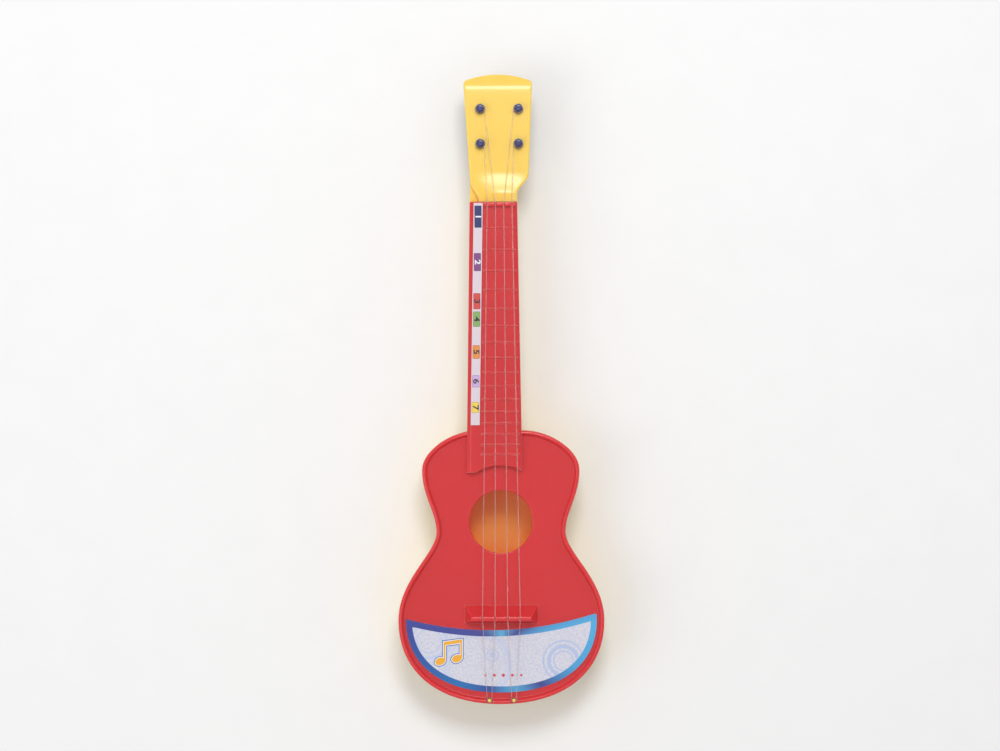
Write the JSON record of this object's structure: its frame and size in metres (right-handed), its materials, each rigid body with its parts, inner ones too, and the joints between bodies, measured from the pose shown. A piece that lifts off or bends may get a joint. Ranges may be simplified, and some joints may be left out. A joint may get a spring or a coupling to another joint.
{
  "type": "toy guitar",
  "caption": "Child's four-string acoustic guitar in moulded plastic, with a screwed front and back shell, moulded frets, a wedge bridge and friction tuning pegs.",
  "frame": {"origin": "centre of the bounding box on the surface that the flat back lies on", "axes": "+Y from the body to the headstock, +Z out of the soundboard, +X to the right of the face"},
  "size_m": [0.1196, 0.366, 0.0425],
  "materials": {
    "red_plastic": "glossy moulded plastic",
    "yellow_plastic": "glossy moulded plastic",
    "blue_plastic": "glossy moulded plastic",
    "nylon": "clear nylon line",
    "screw_steel": "zinc-plated steel",
    "label_paper": "printed self-adhesive label"
  },
  "bodies": {
    "guitar_body": {"front_shell": "red_plastic", "back_shell": "yellow_plastic", "string_pair_left": "nylon", "string_pair_right": "nylon", "number_strip": "label_paper", "body_label": "label_paper", "shell_screw_1": "screw_steel", "shell_screw_2": "screw_steel", "shell_screw_3": "screw_steel", "shell_screw_4": "screw_steel", "shell_screw_5": "screw_steel", "shell_screw_6": "screw_steel", "shell_screw_7": "screw_steel"},
    "peg_1": {"tuning_post_1": "blue_plastic", "tuning_knob_1": "blue_plastic", "knob_screw_1": "screw_steel", "string_winding_1": "nylon"},
    "peg_2": {"tuning_post_2": "blue_plastic", "tuning_knob_2": "blue_plastic", "knob_screw_2": "screw_steel", "string_winding_2": "nylon"},
    "peg_3": {"tuning_post_3": "blue_plastic", "tuning_knob_3": "blue_plastic", "knob_screw_3": "screw_steel", "string_winding_3": "nylon"},
    "peg_4": {"tuning_post_4": "blue_plastic", "tuning_knob_4": "blue_plastic", "knob_screw_4": "screw_steel", "string_winding_4": "nylon"}
  },
  "joints": [
    {"name": "peg_1_turn", "type": "hinge", "parent": "guitar_body", "child": "peg_1", "pos_m": [-0.01105, 0.1627, 0.03], "axis": [0, 0, 1], "continuous": true},
    {"name": "peg_2_turn", "type": "hinge", "parent": "guitar_body", "child": "peg_2", "pos_m": [0.01105, 0.1627, 0.03], "axis": [0, 0, 1], "continuous": true},
    {"name": "peg_3_turn", "type": "hinge", "parent": "guitar_body", "child": "peg_3", "pos_m": [-0.01105, 0.1424, 0.03], "axis": [0, 0, 1], "continuous": true},
    {"name": "peg_4_turn", "type": "hinge", "parent": "guitar_body", "child": "peg_4", "pos_m": [0.01105, 0.1424, 0.03], "axis": [0, 0, 1], "continuous": true}
  ]
}
